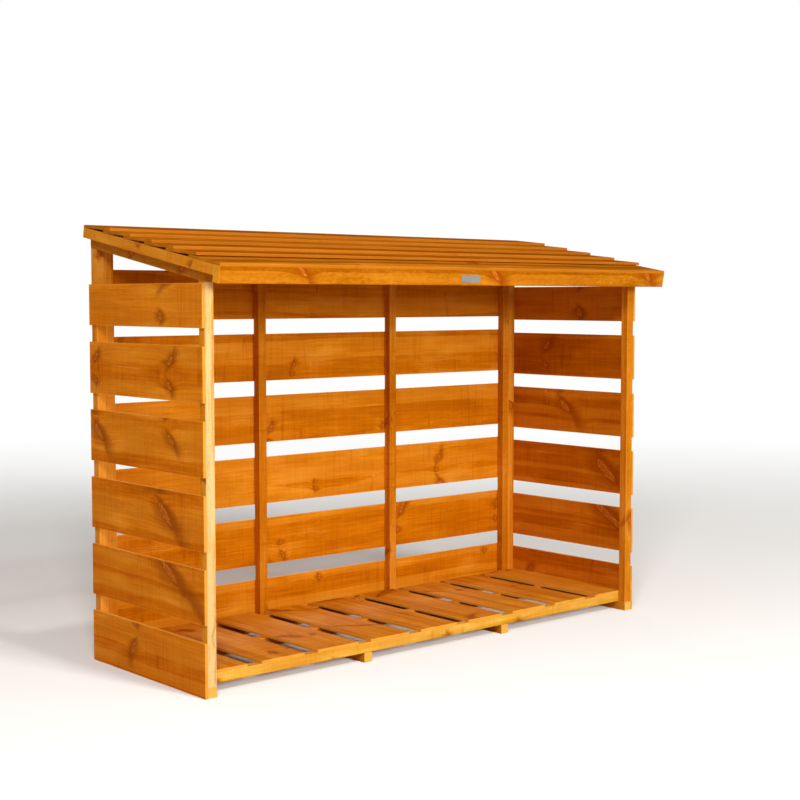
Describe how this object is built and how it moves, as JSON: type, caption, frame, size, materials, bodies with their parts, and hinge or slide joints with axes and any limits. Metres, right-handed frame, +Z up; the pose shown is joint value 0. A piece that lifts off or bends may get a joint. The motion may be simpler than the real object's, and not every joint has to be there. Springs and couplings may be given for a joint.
{
  "type": "log store",
  "caption": "Open-fronted timber log store: slatted sides, back and floor on square battens, under a sloping roof of lapped boards.",
  "frame": {"origin": "on the ground, under the middle of the whole store", "axes": "+Z up, +Y from the open front to the back, +X along the front to its right"},
  "size_m": [1.72, 0.6854, 1.2359],
  "materials": {
    "post": "planed softwood, golden stain",
    "rail": "planed softwood, golden stain",
    "front_rail": "planed softwood, golden stain",
    "side_board": "sawn softwood board, golden stain",
    "back_board": "sawn softwood board, golden stain",
    "floor_slat": "sawn softwood board, golden stain",
    "roof_board": "sawn softwood board, golden stain",
    "nail": "galvanised nail heads, dulled by the stain",
    "plate": "brushed aluminium plate, bare"
  },
  "bodies": {
    "root": {"back_boards": "back_board", "back_bottom_rail": "rail", "back_stud_left": "post", "back_stud_mid_left": "post", "back_stud_mid_right": "post", "back_stud_right": "post", "back_top_rail": "rail", "floor_bearer_left": "rail", "floor_bearer_right": "rail", "floor_front_rail": "rail", "floor_middle_rail": "rail", "floor_rear_rail": "rail", "floor_slats": "floor_slat", "left_bottom_rail": "rail", "left_front_post": "post", "left_rear_post": "post", "left_roof_end_batten": "rail", "left_side_board_1": "side_board", "left_side_board_2": "side_board", "left_side_board_3": "side_board", "left_side_board_4": "side_board", "left_side_board_5": "side_board", "left_side_board_6": "side_board", "left_top_rail": "rail", "right_bottom_rail": "rail", "right_front_post": "post", "right_rear_post": "post", "right_roof_end_batten": "rail", "right_side_board_1": "side_board", "right_side_board_2": "side_board", "right_side_board_3": "side_board", "right_side_board_4": "side_board", "right_side_board_5": "side_board", "right_side_board_6": "side_board", "right_top_rail": "rail", "roof_board_1": "roof_board", "roof_board_2": "roof_board", "roof_board_3": "roof_board", "roof_board_4": "roof_board", "roof_board_5": "roof_board", "roof_board_6": "roof_board", "roof_front_rail": "front_rail", "roof_rafter_left": "rail", "roof_rafter_right": "rail", "roof_rear_rail": "rail"}
  },
  "joints": []
}
